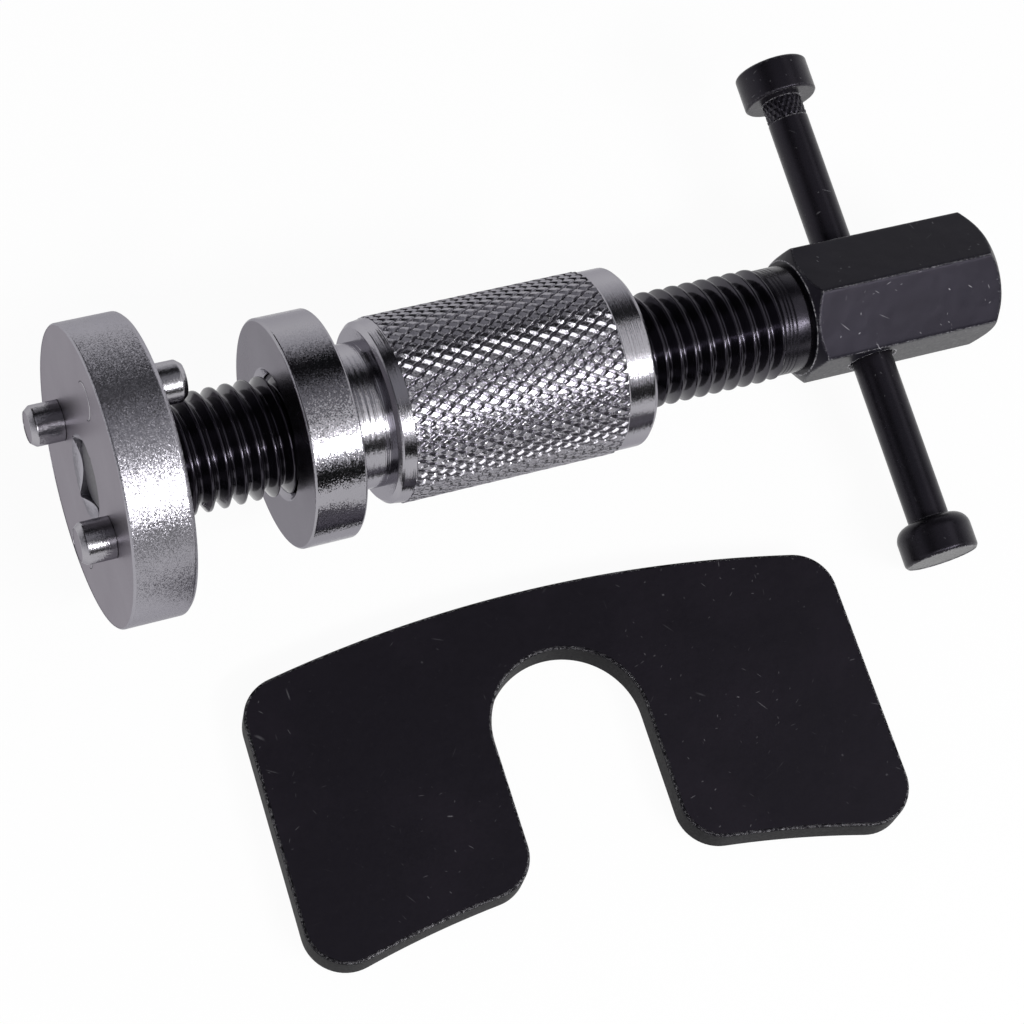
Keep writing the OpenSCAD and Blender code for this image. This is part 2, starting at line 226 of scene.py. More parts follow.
def turned(outline, sides=SIDES, looped=False):
    """Solid turned about z from (radius, station) points; looped where it has a bore."""
    points = []
    for r, s in outline:
        for i in range(sides):
            a = math.tau * i / sides
            points.append((r * math.cos(a), r * math.sin(a), s))
    rings = [range(k * sides, (k + 1) * sides) for k in range(len(outline))]
    return points, stitched([list(ring) for ring in rings], looped)


def soft_min(a, b, ease):
    """The smaller of two radii, with the crease between them eased."""
    near = max(ease - abs(a - b), 0) / ease
    return min(a, b) - near * near * ease / 4


def milled(flats, across, corner_r, stations, end_r):
    """Bar with flats about z, a flat's middle on x; end_r gives the turned radius at a station."""
    steps = 24
    ease = 0.12
    angles = []
    # Points stand closer together towards the corners
    for flat in range(flats):
        for i in range(steps):
            t = 2 * i / steps - 1
            spread = math.copysign(1 - (1 - abs(t)) ** 2.2, t)
            angles.append((flat + spread / 2) * math.tau / flats)
    points = []
    for s in stations:
        for k, a in enumerate(angles):
            off = a - (k // steps) * math.tau / flats
            r = soft_min(across / 2 / math.cos(off), corner_r, ease)
            r = soft_min(r, end_r(s), ease)
            points.append((r * math.cos(a), r * math.sin(a), s))
    sides = len(angles)
    rings = [list(range(k * sides, (k + 1) * sides)) for k in range(len(stations))]
    return points, stitched(rings)


def knurled(crest_r, depth, walls, starts, diamond_l, first, last, core_r):
    """Ring with two crossed sets of V grooves that leave flat-topped pyramids; walls holds the
    widths of the two walls of each set, as shares of the grooves' spacing."""
    # Half the width of a groove's broken upper edge, as such a share, and the blend where grooves cross
    broken = 0.04
    blend = 0.06
    rising, falling = (
        (0, out - broken, out + broken, (1 + out - back) / 2, 1 - back - broken, 1 - back + broken)
        for out, back in walls)
    steps = len(rising)
    whole = starts * steps
    mesh = bmesh.new()
    found = {}

    def cut_r(share, out, back):
        return crest_r - depth * max(1 - share / out, 1 - (1 - share) / back, 0)

    def corner(i, j):
        lap = (i // whole) * whole
        key = (i - lap, j - lap)
        if key not in found:
            a = rising[i % steps]
            b = falling[j % steps]
            r = soft_min(cut_r(a, *walls[0]), cut_r(b, *walls[1]), blend)
            a += i // steps
            b += j // steps
            turn = (a + b) / 2 * math.tau / starts
            s = first + (a - b) / 2 * diamond_l
            found[key] = mesh.verts.new((r * math.cos(turn), r * math.sin(turn), s))
        return found[key]

    reach = math.ceil(2 * (last - first) / diamond_l) + 2
    for i in range(whole):
        for j in range(i // steps * steps - reach * steps, (i // steps + 2) * steps):
            mesh.faces.new((corner(i, j), corner(i + 1, j), corner(i + 1, j + 1), corner(i, j + 1)))
    for station, normal in ((first, -1), (last, 1)):
        everything = mesh.verts[:] + mesh.edges[:] + mesh.faces[:]
        bmesh.ops.bisect_plane(
            mesh, geom=everything, dist=1e-5, plane_co=(0, 0, station),
            plane_no=(0, 0, normal), clear_outer=True,
        )
    rims = [edge for edge in mesh.edges if edge.is_boundary]
    ends = bmesh.ops.extrude_edge_only(mesh, edges=rims)["geom"]
    for vert in ends:
        if isinstance(vert, bmesh.types.BMVert):
            flat = Vector((vert.co.x, vert.co.y, 0)).normalized() * core_r
            vert.co = Vector((flat.x, flat.y, vert.co.z))
    inner = [edge for edge in ends if isinstance(edge, bmesh.types.BMEdge)]
    bmesh.ops.bridge_loops(mesh, edges=inner)
    mesh.verts.index_update()
    points = [vert.co.copy() for vert in mesh.verts]
    faces = [tuple(vert.index for vert in face.verts) for face in mesh.faces]
    mesh.free()
    return points, faces


def rolled_thread():
    """Right-hand screw thread with eased crests and roots, turned down to a cone where it starts."""
    root_r = THREAD_D / 2 - THREAD_DEPTH
    # One side of the ridge, from root to crest: stations in millimetres and shares of the depth
    ridge = ((0, 0), (0.12, 0.01), (0.2, 0.04), (0.27, 0.11), (0.98, 0.9), (1.03, 0.95),
             (1.09, 0.985), (1.25, 1.0))
    profile = list(ridge) + [(THREAD_PITCH - s, h) for s, h in reversed(ridge[1:-1])]
    steps = len(profile)
    columns = 144
    rows = steps * (math.ceil(THREAD_END / THREAD_PITCH) + 3)
    mesh = bmesh.new()
    grid = []
    for j in range(columns):
        a = math.tau * j / columns
        line = []
        for i in range(rows):
            s, h = profile[i % steps]
            s += THREAD_PITCH * (i // steps - 1 + j / columns)
            s = min(max(s, 0), THREAD_END)
            lead_r = LEAD_IN_R + LEAD_IN_SLOPE * s
            end_r = RELIEF_D / 2 + THREAD_END - s if s < THREAD_END else root_r
            r = min(root_r + h * THREAD_DEPTH, lead_r, end_r)
            line.append(mesh.verts.new((r * math.cos(a), r * math.sin(a), s)))
        grid.append(line)
    for j in range(columns):
        lap = steps if j == columns - 1 else 0
        here, after = grid[j], grid[(j + 1) % columns]
        for i in range(rows - 1 - lap):
            mesh.faces.new((here[i], after[i + lap], after[i + 1 + lap], here[i + 1]))
    bmesh.ops.remove_doubles(mesh, verts=mesh.verts, dist=1e-4)
    bmesh.ops.dissolve_degenerate(mesh, edges=mesh.edges, dist=1e-4)
    ends = [edge for edge in mesh.edges if edge.is_boundary]
    bmesh.ops.holes_fill(mesh, edges=ends)
    mesh.verts.index_update()
    points = [vert.co.copy() for vert in mesh.verts]
    faces = [tuple(vert.index for vert in face.verts) for face in mesh.faces]
    mesh.free()
    return points, faces


def arc(centre, radius, start, end, steps=16):
    """Points of an arc between two angles in degrees."""
    points = []
    for i in range(steps + 1):
        a = math.radians(start + (end - start) * i / steps)
        points.append(Vector((centre[0] + radius * math.cos(a), centre[1] + radius * math.sin(a))))
    return points


def plate_outline():
    """The plate's edge as a loop, clockwise from the middle of its outer arc."""
    def corner_on(x, r):
        return Vector((x, math.sqrt(r * r - x * x)))

    def bearing(point):
        return math.degrees(math.atan2(point.y, point.x))

    top = corner_on(PLATE_HALF_W - PLATE_CORNER_R, PLATE_OUTER_R - PLATE_CORNER_R)
    leg = corner_on(PLATE_HALF_W - PLATE_CORNER_R, PLATE_INNER_R + PLATE_CORNER_R)
    mouth = corner_on(SLOT_HALF_W + MOUTH_R, PLATE_INNER_R + MOUTH_R)
    half = arc((0, 0), PLATE_OUTER_R, 90, bearing(top), 48)
    half += arc(top, PLATE_CORNER_R, bearing(top), 0)
    half += arc(leg, PLATE_CORNER_R, 0, bearing(leg) - 180)
    half += arc((0, 0), PLATE_INNER_R, bearing(leg), bearing(mouth), 12)
    half += arc(mouth, MOUTH_R, bearing(mouth) + 180, 180)
    half += arc((0, SLOT_END_R), SLOT_HALF_W, 0, 90, 32)
    loop = half + [Vector((-p.x, p.y)) for p in reversed(half)]
    return [p for k, p in enumerate(loop) if (p - loop[k - 1]).length > 1e-4]


def blanked_plate():
    """Plate with its edge rolled over a little at the top and broken at the bottom."""
    loop = list(reversed(plate_outline()))
    count = len(loop)
    # Insets and heights, from the bottom up
    edge = ((0.3, 0), (0.1, 0.1), (0, 0.3), (0, PLATE_T - 0.5), (0.06, PLATE_T - 0.22),
            (0.2, PLATE_T - 0.07), (0.45, PLATE_T))
    points = []
    for inset, z in edge:
        for k, p in enumerate(loop):
            along = (loop[(k + 1) % count] - loop[k - 1]).normalized()
            points.append((p.x - along.y * inset, p.y + along.x * inset, z))
    rings = [list(range(k * count, (k + 1) * count)) for k in range(len(edge))]
    return points, stitched(rings)


# Making and fitting pieces

def made(name, shape, where):
    """Closed mesh piece from a shape in millimetres, set in the frame of its own part."""
    points, faces = shape
    mesh = bpy.data.meshes.new(name)
    mesh.from_pydata([where @ Vector(p) for p in points], [], faces)
    piece = bpy.data.objects.new(name, mesh)
    bpy.context.scene.collection.objects.link(piece)
    return piece


def cut(piece, *cutters):
    """Takes closed cutters out of a piece."""
    for cutter in cutters:
        saw = piece.modifiers.new("cut", "BOOLEAN")
        saw.operation = "DIFFERENCE"
        saw.solver = "EXACT"
        saw.object = cutter
    graph = bpy.context.evaluated_depsgraph_get()
    mesh = bpy.data.meshes.new_from_object(piece.evaluated_get(graph))
    piece.modifiers.clear()
    piece.data = mesh
    for cutter in cutters:
        bpy.data.objects.remove(cutter)


def fitted(piece, material, body, slot, *nodes, crease=35, faces=None, way=axis_dir):
    """Finishes a piece: shading, material, the body it rides on and the CAD nodes it stands for.
    A second material goes on its flat faces that look along a way, the tool's axis or another."""
    along_way = 0.97
    mesh = piece.data
    work = bmesh.new()
    work.from_mesh(mesh)
    bmesh.ops.recalc_face_normals(work, faces=work.faces)
    work.to_mesh(mesh)
    work.free()
    mesh.shade_smooth()
    mesh.set_sharp_from_angle(angle=math.radians(crease))
    flats = piece.modifiers.new("flat faces stay flat", "WEIGHTED_NORMAL")
    flats.keep_sharp = True
    mesh.materials.clear()
    mesh.materials.append(material)
    if faces:
        mesh.materials.append(faces)
        for polygon in mesh.polygons:
            polygon.material_index = int(abs(polygon.normal.dot(way)) > along_way)
    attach(piece, body)
    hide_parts(*nodes)


# Materials

def colour(code):
    """Linear colour from an sRGB hex code."""
    channels = [int(code[k:k + 2], 16) / 255 for k in (1, 3, 5)]
    return [c / 12.92 if c <= 0.04045 else ((c + 0.055) / 1.055) ** 2.4 for c in channels] + [1]


def add(tree, kind, sockets=None, **settings):
    """Adds a node, sets its properties, and sets or links its sockets."""
    node = tree.nodes.new(kind)
    for name, value in settings.items():
        setattr(node, name, value)
    for name, value in (sockets or {}).items():
        if isinstance(value, bpy.types.NodeSocket):
            tree.links.new(value, node.inputs[name])
        else:
            node.inputs[name].default_value = value
    return node


def per_mm(size):
    """Texture scale, in the metres of the objects, for features of a size in millimetres."""
    return 1 / (size * MM)


def new_material(name):
    material = bpy.data.materials.new(name)
    material.use_nodes = True
    material.node_tree.nodes.clear()
    return material, material.node_tree


def black_oxide(name, tint, worn, roughness, shine, scratch, edge_wear):
    """Black oxide on steel, oiled: near black with a dark oily gloss, hair scratches and bright specks
    in patches from handling, and pale steel where edges have rubbed through."""
    material, tree = new_material(name)
    where = add(tree, "ShaderNodeTexCoord").outputs["Object"]
    cloud = add(tree, "ShaderNodeTexNoise", {"Vector": where, "Scale": per_mm(14), "Detail": 3})
    fine = add(tree, "ShaderNodeTexNoise", {"Vector": where, "Scale": per_mm(0.4), "Detail": 2})
    patches = add(tree, "ShaderNodeMapRange", {
        "Value": cloud.outputs["Fac"], "From Min": 0.46, "From Max": 0.7, "To Min": 0.06})

    # One straight scratch in each cell, where a plane at a random tilt cuts the surface, and a speck in
    # its middle; drawn 0.14 mm wide, coarser than real ones, so that they show
    marks = None
    for cell_mm, reach_mm in ((6, 1.1), (3.2, 0.5), (1.7, 0.25)):
        cell = add(tree, "ShaderNodeTexVoronoi", {"Vector": where, "Scale": per_mm(cell_mm)})
        local = add(tree, "ShaderNodeVectorMath", {
            0: where, 1: cell.outputs["Position"]}, operation="SUBTRACT").outputs[0]
        tilt = add(tree, "ShaderNodeVectorMath", {
            0: cell.outputs["Color"], 1: (0.5, 0.5, 0.5)}, operation="SUBTRACT").outputs[0]
        tilt = add(tree, "ShaderNodeVectorMath", {0: tilt}, operation="NORMALIZE").outputs[0]
        off = add(tree, "ShaderNodeVectorMath", {0: local, 1: tilt}, operation="DOT_PRODUCT")
        off = add(tree, "ShaderNodeMath", {0: off.outputs["Value"]}, operation="ABSOLUTE").outputs[0]
        line = add(tree, "ShaderNodeMapRange", {
            "Value": off, "From Min": 0.07 * MM, "From Max": 0.02 * MM}).outputs[0]
        far = add(tree, "ShaderNodeVectorMath", {0: local}, operation="LENGTH").outputs["Value"]
        kept = add(tree, "ShaderNodeMapRange", {
            "Value": far, "From Min": reach_mm * MM, "From Max": 0.4 * reach_mm * MM}).outputs[0]
        drawn = add(tree, "ShaderNodeMath", {0: line, 1: kept}, operation="MULTIPLY").outputs[0]
        if marks is None:
            marks = drawn
        else:
            marks = add(tree, "ShaderNodeMath", {0: marks, 1: drawn}, operation="MAXIMUM").outputs[0]
    scratched = add(tree, "ShaderNodeMath", {0: marks, 1: patches.outputs[0]}, operation="MULTIPLY")
    scratch_share = add(tree, "ShaderNodeMath", {
        0: scratched.outputs[0], 1: scratch}, operation="MULTIPLY")

    # Rubbed edges: where a rounded normal leaves the true one, broken up by the fine noise
    rounded = add(tree, "ShaderNodeBevel", {"Radius": 0.35 * MM}, samples=6)
    true_way = add(tree, "ShaderNodeNewGeometry").outputs["Normal"]
    likeness = add(tree, "ShaderNodeVectorMath", {
        0: rounded.outputs[0], 1: true_way}, operation="DOT_PRODUCT")
    edge = add(tree, "ShaderNodeMapRange", {
        "Value": likeness.outputs["Value"], "From Min": 0.996, "From Max": 0.96})
    ragged = add(tree, "ShaderNodeMapRange", {
        "Value": fine.outputs["Fac"], "From Min": 0.42, "From Max": 0.56, "To Min": 0.05})
    rubbed = add(tree, "ShaderNodeMath", {
        0: edge.outputs[0], 1: ragged.outputs[0]}, operation="MULTIPLY")
    rubbed_share = add(tree, "ShaderNodeMath", {
        0: rubbed.outputs[0], 1: edge_wear}, operation="MULTIPLY", use_clamp=True)

    wear = add(tree, "ShaderNodeMath", {
        0: rubbed_share.outputs[0], 1: scratch_share.outputs[0]}, operation="MAXIMUM")
    oxide = add(tree, "ShaderNodeMix", {
        "Factor": patches.outputs[0], 6: colour(tint), 7: colour(worn)}, data_type="RGBA")
    skin = add(tree, "ShaderNodeMix", {
        "Factor": wear.outputs[0], 6: oxide.outputs[2], 7: colour("#e8e6ec")}, data_type="RGBA")
    gloss = add(tree, "ShaderNodeMapRange", {
        "Value": fine.outputs["Fac"], "From Min": 0.3, "From Max": 0.7,
        "To Min": roughness - 0.04, "To Max": roughness + 0.06})
    swell = add(tree, "ShaderNodeTexNoise", {"Vector": where, "Scale": per_mm(3), "Detail": 1})
    uneven = add(tree, "ShaderNodeBump", {
        "Height": swell.outputs["Fac"], "Strength": 1, "Distance": 0.04 * MM})
    pits = add(tree, "ShaderNodeBump", {
        "Height": fine.outputs["Fac"], "Strength": 0.2, "Distance": 0.02 * MM,
        "Normal": uneven.outputs[0]})
    shader = add(tree, "ShaderNodeBsdfPrincipled", {
        "Base Color": skin.outputs[2], "Roughness": gloss.outputs[0], "Specular IOR Level": shine,
        "Specular Tint": colour("#ece4fc"), "Normal": pits.outputs[0]})
    add(tree, "ShaderNodeOutputMaterial", {"Surface": shader.outputs[0]})
    return material


def plated_steel(name, tint, shade, roughness, grain_mm, sparkle, ring_mm, ring_depth):
    """Bright plate on steel: a grey mirror that shows the room in bands. Grain is the skin under the
    plate, small facets that each catch the light alone, so that bands break up into sparkle, and it is
    drawn coarser than the real one. Rings are tool marks from the lathe, which draw the bands out."""
    material, tree = new_material(name)
    where = add(tree, "ShaderNodeTexCoord").outputs["Object"]
    grain = add(tree, "ShaderNodeTexVoronoi", {"Vector": where, "Scale": per_mm(grain_mm)})
    cloud = add(tree, "ShaderNodeTexNoise", {"Vector": where, "Scale": per_mm(9), "Detail": 3})
    station = add(tree, "ShaderNodeVectorMath", {0: where, 1: axis_dir}, operation="DOT_PRODUCT")
    ring = add(tree, "ShaderNodeTexNoise", {
        "W": station.outputs["Value"], "Scale": per_mm(ring_mm), "Detail": 3}, noise_dimensions="1D")
    marks = add(tree, "ShaderNodeBump", {
        "Height": ring.outputs["Fac"], "Strength": 1, "Distance": ring_depth * MM})
    facet = add(tree, "ShaderNodeVectorMath", {
        0: grain.outputs["Color"], 1: (sparkle,) * 3, 2: (-sparkle / 2,) * 3}, operation="MULTIPLY_ADD")
    leaned = add(tree, "ShaderNodeVectorMath", {
        0: marks.outputs[0], 1: facet.outputs[0]}, operation="ADD")
    facing = add(tree, "ShaderNodeVectorMath", {0: leaned.outputs[0]}, operation="NORMALIZE")
    skin = add(tree, "ShaderNodeMix", {
        "Factor": cloud.outputs["Fac"], 6: colour(tint), 7: colour(shade)}, data_type="RGBA")
    gloss = add(tree, "ShaderNodeMapRange", {
        "Value": cloud.outputs["Fac"], "From Min": 0.3, "From Max": 0.7,
        "To Min": roughness - 0.02, "To Max": roughness + 0.03})
    shader = add(tree, "ShaderNodeBsdfPrincipled", {
        "Base Color": skin.outputs[2], "Metallic": 1, "Roughness": gloss.outputs[0],
        "Specular Tint": colour("#c9c8cc"), "Normal": facing.outputs[0]})
    add(tree, "ShaderNodeOutputMaterial", {"Surface": shader.outputs[0]})
    return material


# Wet-looking: thin highlights run along the thread's crests
thread_black = black_oxide(
    "black oxide, rolled thread, oiled", "#08070a", "#0c0b0e",
    roughness=0.13, shine=0.55, scratch=0.03, edge_wear=0)
# Satin flats with scratches and rubbed corners
hex_black = black_oxide(
    "black oxide, milled hexagon", "#0b0a10", "#121118",
    roughness=0.36, shine=0.2, scratch=0.4, edge_wear=0.9)
# Soft highlight, no wear
relief_black = black_oxide(
    "black oxide, turned relief", "#0a090c", "#0f0e11",
    roughness=0.26, shine=0.4, scratch=0.05, edge_wear=0)
# Thin oxide, grey where the adaptor slides on and off
drive_black = black_oxide(
    "black oxide, faced drive end", "#39373c", "#434146",
    roughness=0.4, shine=0.4, scratch=0.2, edge_wear=0.2)
# One long soft highlight down the bar
bar_black = black_oxide(
    "black oxide, turned bar", "#0d0c0f", "#151317",
    roughness=0.3, shine=0.28, scratch=0.16, edge_wear=0.25)
# Flat, even black with few marks
plate_black = black_oxide(
    "black oxide, blanked plate", "#0e0c10", "#141116",
    roughness=0.4, shine=0.32, scratch=0.12, edge_wear=0)
# Dull walls with a bright broken line along their edges
plate_sheared = black_oxide(
    "black oxide, sheared edge", "#0a090b", "#0f0e11",
    roughness=0.5, shine=0.06, scratch=0.1, edge_wear=1)
# Satin rim whose white band breaks up into sparkle
disc_satin = plated_steel(
    "zinc plate, blasted rim", "#a6a4ab", "#9e9ca3",
    roughness=0.3, grain_mm=0.14, sparkle=0.25, ring_mm=0.6, ring_depth=0.001)
# Even, matt grey of the faced disc; its tint, darker than the rim's, is painted shade for the shadowed floor that
# the faces mirror
disc_faced_painted_shade = plated_steel(
    "zinc plate, faced disc, painted shade", "#9c979e", "#948f96",
    roughness=0.36, grain_mm=0.3, sparkle=0.02, ring_mm=0.6, ring_depth=0.0005)
# Clear bands with soft ends
pin_satin = plated_steel(
    "zinc plate, ground pin", "#a8a6ab", "#9e9ca1",
    roughness=0.2, grain_mm=0.12, sparkle=0.1, ring_mm=0.3, ring_depth=0.002)
# Near mirror, with a hard black band and a white one
flange_bright = plated_steel(
    "nickel plate, fine turned rim", "#a3a1a7", "#9a989e",
    roughness=0.12, grain_mm=0.14, sparkle=0.12, ring_mm=0.3, ring_depth=0.0008)
# Soft reflections of the faced flange; its darker grey is painted shade for the shadowed floor that the faces
# mirror
flange_faced_painted_shade = plated_steel(
    "nickel plate, faced flange, painted shade", "#8c898f", "#848187",
    roughness=0.25, grain_mm=0.2, sparkle=0.03, ring_mm=0.3, ring_depth=0.0005)
# Lathe rings that pull each band into threads of light
nut_turned = plated_steel(
    "nickel plate, turned nut", "#a8a6ac", "#9e9ca2",
    roughness=0.15, grain_mm=0.12, sparkle=0.07, ring_mm=0.25, ring_depth=0.018)
# Hard glints on the groove walls, grey tops
nut_knurled = plated_steel(
    "nickel plate, rolled knurl", "#a3a1a7", "#99979d",
    roughness=0.2, grain_mm=0.2, sparkle=0.14, ring_mm=0.6, ring_depth=0.001)
# Smooth and plain
spring_steel = plated_steel(
    "polished spring steel", "#a0a1a6", "#8d8e93",
    roughness=0.2, grain_mm=0.3, sparkle=0.02, ring_mm=0.5, ring_depth=0.001)


# Spindle

relief_r = RELIEF_D / 2
screw = made("screw_thread", rolled_thread(), on_axis)
fitted(screw, thread_black, "spindle", "blackened_steel", "spindle", crease=50)

# Smooth relief behind the thread, with the last marks of the thread roll and an undercut at the hexagon
relief_outline = [(relief_r - 0.3, THREAD_END - 0.3, 0), (relief_r, THREAD_END + 0.1, 0.05)]
for mark in ROLL_MARKS:
    at = THREAD_END + mark
    relief_outline += [
        (relief_r, at, 0.05), (relief_r - ROLL_MARK_DEPTH, at + ROLL_MARK_DEPTH, 0.05),
        (relief_r, at + 2 * ROLL_MARK_DEPTH, 0.05)]
relief_outline += [
    (relief_r, HEX_AT - 0.7, 0.1), (relief_r - UNDERCUT, HEX_AT - 0.3, 0.1),
    (relief_r - UNDERCUT, HEX_AT + 0.5, 0)]
relief = made("thread_relief", turned(eased(relief_outline)), on_axis)
fitted(relief, relief_black, "spindle", "blackened_steel", "spindle")

hex_corner_r = HEX_AF / 2 / math.cos(math.radians(30))
hex_face_r = HEX_AF / 2 - HEX_CHAMFER / 4


def hex_end_r(s):
    from_end = min(s - HEX_AT, HEX_END - s)
    return hex_face_r + from_end * (hex_corner_r - hex_face_r) / HEX_CHAMFER


# Stations close together at both chamfers, so that the chamfers' arcs on the flats come out round
chamfer_steps = [HEX_CHAMFER * 1.2 * i / 14 for i in range(15)]
hex_stations = [HEX_AT + d for d in chamfer_steps]
hex_stations += [HEX_END - HAIR - d for d in reversed(chamfer_steps)]
hexagon = made("hex_head", milled(
    6, HEX_AF, hex_corner_r - HEX_CORNER_BREAK, hex_stations, hex_end_r), on_spindle)
hole_r = BAR_HOLE_D / 2
hole_mouth_r = hole_r + BAR_HOLE_CHAMFER + CUT_OVER
cross_hole = made("cross_hole", turned([
    (hole_mouth_r, -HEX_AF / 2 - CUT_OVER), (hole_r, -HEX_AF / 2 + BAR_HOLE_CHAMFER),
    (hole_r, HEX_AF / 2 - BAR_HOLE_CHAMFER), (hole_mouth_r, HEX_AF / 2 + CUT_OVER)],
    SMALL_SIDES), on_bar)
cut(hexagon, cross_hole)
fitted(hexagon, hex_black, "spindle", "blackened_steel", "spindle")


def drive_end_r(s):
    return DRIVE_CORNER_D / 2 - DRIVE_CHAMFER + (s + DRIVE_L)


# Stations close together at the chamfer, and the last one inside the screw
drive_stations = [-DRIVE_L + 0.1 * i for i in range(12)] + [0.5]
drive = made("square_drive", milled(4, DRIVE_W, DRIVE_CORNER_D / 2, drive_stations, drive_end_r),
             on_adaptor @ turned_by(45))
ball_way = on_adaptor @ turned_by(45) @ Matrix.Translation((DRIVE_W / 2, 0, -DRIVE_L / 2))
ball_hole = made("ball_hole", turned([
    (BALL_HOLE_D / 2, -BALL_HOLE_DEPTH), (BALL_HOLE_D / 2, CUT_OVER)], SMALL_SIDES),
    ball_way @ Matrix.Rotation(math.radians(90), 4, "Y"))
cut(drive, ball_hole)
fitted(drive, drive_black, "spindle", "blackened_steel", "spindle")

# Adaptor with its four pins

disc_r = ADAPTOR_D / 2 - 2 * HAIR
disc = made("adaptor_body", turned(eased([
    (disc_r - EDGE_BREAK, -ADAPTOR_T, 0.1), (disc_r, -ADAPTOR_T + EDGE_BREAK, 0.15),
    (disc_r, -ADAPTOR_CHAMFER, 0.25), (disc_r - ADAPTOR_CHAMFER, 0, 0.12)])), on_axis)
square_hole = made("square_hole", milled(
    4, SQUARE_HOLE_W, SQUARE_HOLE_W, [-ADAPTOR_T - CUT_OVER, CUT_OVER], lambda s: SQUARE_HOLE_W),
    on_adaptor @ turned_by(45))

# Cones that open the square hole at both faces, each cut off 1 mm short of its point
mouth_r = HOLE_MOUTH_D / 2
mouth_slope = math.tan(math.radians(HOLE_MOUTH_ANGLE))
mouth_l = mouth_r / mouth_slope - 1
front_mouth = made("hole_mouth", turned([
    (mouth_r + mouth_slope * CUT_OVER, -ADAPTOR_T - CUT_OVER),
    (mouth_slope, -ADAPTOR_T + mouth_l)]), on_axis)
rear_mouth = made("hole_mouth", turned([
    (mouth_slope, -mouth_l), (mouth_r + mouth_slope * CUT_OVER, CUT_OVER)]), on_axis)

# Pin bores, a little wider at both faces so that each pin shows as a circle
shank_r = PIN_SHANK_D / 2
bore_mouth_r = shank_r + PIN_BORE_MOUTH
pin_bore_r = shank_r + PIN_BORE_PLAY
bores = []
pin_places = {}
pin_pairs = (("front", FRONT_PIN_CIRCLE_D, -PIN_TURN), ("rear", REAR_PIN_CIRCLE_D, 90 - PIN_TURN))
for pair, circle_d, turn in pin_pairs:
    for half, opposite in (("lower", 0), ("upper", 180)):
        spot = on_adaptor @ turned_by(turn + opposite) @ Matrix.Translation((circle_d / 2, 0, 0))
        pin_places[f"{pair}_pin_{half}"] = spot
        bores.append(made("pin_bore", turned([
            (bore_mouth_r, -ADAPTOR_T - CUT_OVER), (bore_mouth_r, -ADAPTOR_T + PIN_BORE_MOUTH_L),
            (pin_bore_r, -ADAPTOR_T + PIN_BORE_MOUTH_L), (pin_bore_r, -PIN_BORE_MOUTH_L),
            (bore_mouth_r, -PIN_BORE_MOUTH_L), (bore_mouth_r, CUT_OVER)], SMALL_SIDES), spot))
cut(disc, square_hole, front_mouth, rear_mouth, *bores)
# The flat faces take a darker copy of the plating: painted shade for the shadowed floor they mirror
fitted(disc, disc_satin, "adaptor", "satin_plated_steel", "adaptor_disc", faces=disc_faced_painted_shade)

pin_r = PIN_D / 2
pin_l = ADAPTOR_T + PIN_PROUD - 2 * HAIR
pin_shape = turned(eased([
    (shank_r - 0.1, 0, 0), (shank_r, 0.1, 0), (shank_r, ADAPTOR_T, 0), (pin_r, ADAPTOR_T, 0),
    (pin_r, pin_l - PIN_CHAMFER, 0.2), (pin_r - 0.8 * PIN_CHAMFER, pin_l, 0.15)]), SMALL_SIDES)
flush_in = {
    "front": Matrix.Rotation(math.pi, 4, "X"),
    "rear": Matrix.Translation((0, 0, -ADAPTOR_T)),
}
# The pins' flat ends take the same darker copy of the plating: painted shade
for node, spot in pin_places.items():
    pin = made(node + "_turned", pin_shape, spot @ flush_in[node.split("_")[0]])
    fitted(pin, pin_satin, "adaptor", "satin_plated_steel", node, faces=disc_faced_painted_shade)

# Thrust flange

flange_r = FLANGE_D / 2
bore_r = BORE_D / 2
flange = made("flange_turned", turned(eased([
    (bore_r + BORE_CHAMFER, FLANGE_AT, 0.15), (flange_r - EDGE_BREAK, FLANGE_AT, 0.1),
    (flange_r, FLANGE_AT + EDGE_BREAK, 0.15), (flange_r, FLANGE_BACK - EDGE_BREAK, 0.15),
    (flange_r - EDGE_BREAK, FLANGE_BACK, 0.1), (FLANGE_SOCKET_D / 2, FLANGE_BACK, 0.1),
    (FLANGE_SOCKET_D / 2, FLANGE_SOCKET_AT, 0), (bore_r, FLANGE_SOCKET_AT, 0),
    (bore_r, FLANGE_AT + BORE_CHAMFER, 0)]), looped=True), on_axis)
# The flat faces take a darker copy of the plating: painted shade for the shadowed floor they mirror
fitted(flange, flange_bright, "flange", "bright_plated_steel", "thrust_flange", faces=flange_faced_painted_shade)

# Knurled nut

marks = random.Random(7)


def tool_marks(r0, s0, r1, s1, spacing, depth):
    """Corners of a turned stretch with the rings that the lathe tool left in it."""
    corners = []
    count = round((s1 - s0) / spacing)
    for i in range(1, count):
        t = i / count
        sunk = depth * marks.random() if i % 2 else 0
        corners.append((r0 + (r1 - r0) * t - sunk, s0 + (s1 - s0) * t, 0))
    return corners


